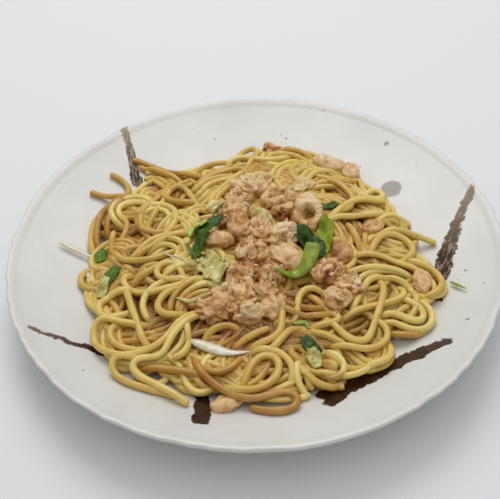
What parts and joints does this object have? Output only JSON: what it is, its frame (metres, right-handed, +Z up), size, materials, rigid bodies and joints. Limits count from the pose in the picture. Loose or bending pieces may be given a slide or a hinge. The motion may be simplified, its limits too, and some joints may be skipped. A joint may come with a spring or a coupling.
{
  "type": "yakisoba on a plate",
  "caption": "Plate of yakisoba: a low heap of fried noodles with small pieces of pork, greens and cabbage on a round stoneware plate with a flared rim.",
  "frame": {"origin": "on the table, under the middle of the plate's foot", "axes": "+Z up, +X to the eater's right, +Y away from the eater"},
  "size_m": [0.2224, 0.2224, 0.0362],
  "materials": {
    "plate": "satin glaze with fine pits",
    "noodle": "oily, lightly browned",
    "pork": "cooked meat, moist",
    "leaf": "wilted green leaf, moist",
    "stem": "cooked green stem, moist",
    "cabbage": "cooked cabbage and sprout, moist"
  },
  "bodies": {
    "root": {"plate": "plate", "noodle_heap": "noodle", "pork_back_roll": "pork", "pork_back_crumb": "pork", "pork_hollow": "pork", "pork_curl": "pork", "pork_left_back": "pork", "pork_folded": "pork", "pork_left_smooth": "pork", "pork_middle": "pork", "pork_pale_crumbs": "pork", "pork_fat_oval": "pork", "pork_crumbly": "pork", "pork_small_front": "pork", "pork_left_front": "pork", "pork_pale_smooth": "pork", "pork_crumb_front": "pork", "pork_brown_front": "pork", "pork_tongue": "pork", "pork_shreds": "pork", "pork_right_upper": "pork", "pork_right_small": "pork", "pork_right_lower": "pork", "pork_right_slice": "pork", "pork_far_right": "pork", "pork_back_right": "pork", "pork_back_corner": "pork", "pork_far_back": "pork", "pork_fallen": "pork", "pork_edge_slice": "pork", "cabbage_middle": "cabbage", "cabbage_left_back": "cabbage", "cabbage_back": "cabbage", "cabbage_back_long": "cabbage", "cabbage_front": "cabbage", "cabbage_left": "cabbage", "cabbage_middle_left": "cabbage", "leaf_dark_left": "leaf", "leaf_dark_right": "leaf", "leaf_bright_blade": "leaf", "leaf_back_strip": "leaf", "leaf_left_edge": "leaf", "leaf_olive_left": "leaf", "leaf_front": "leaf", "stem_left": "stem", "stem_right": "stem", "stem_front": "stem", "shred_green_right": "stem", "sprout_front": "cabbage", "shred_left": "cabbage", "root_left": "cabbage"}
  },
  "joints": []
}
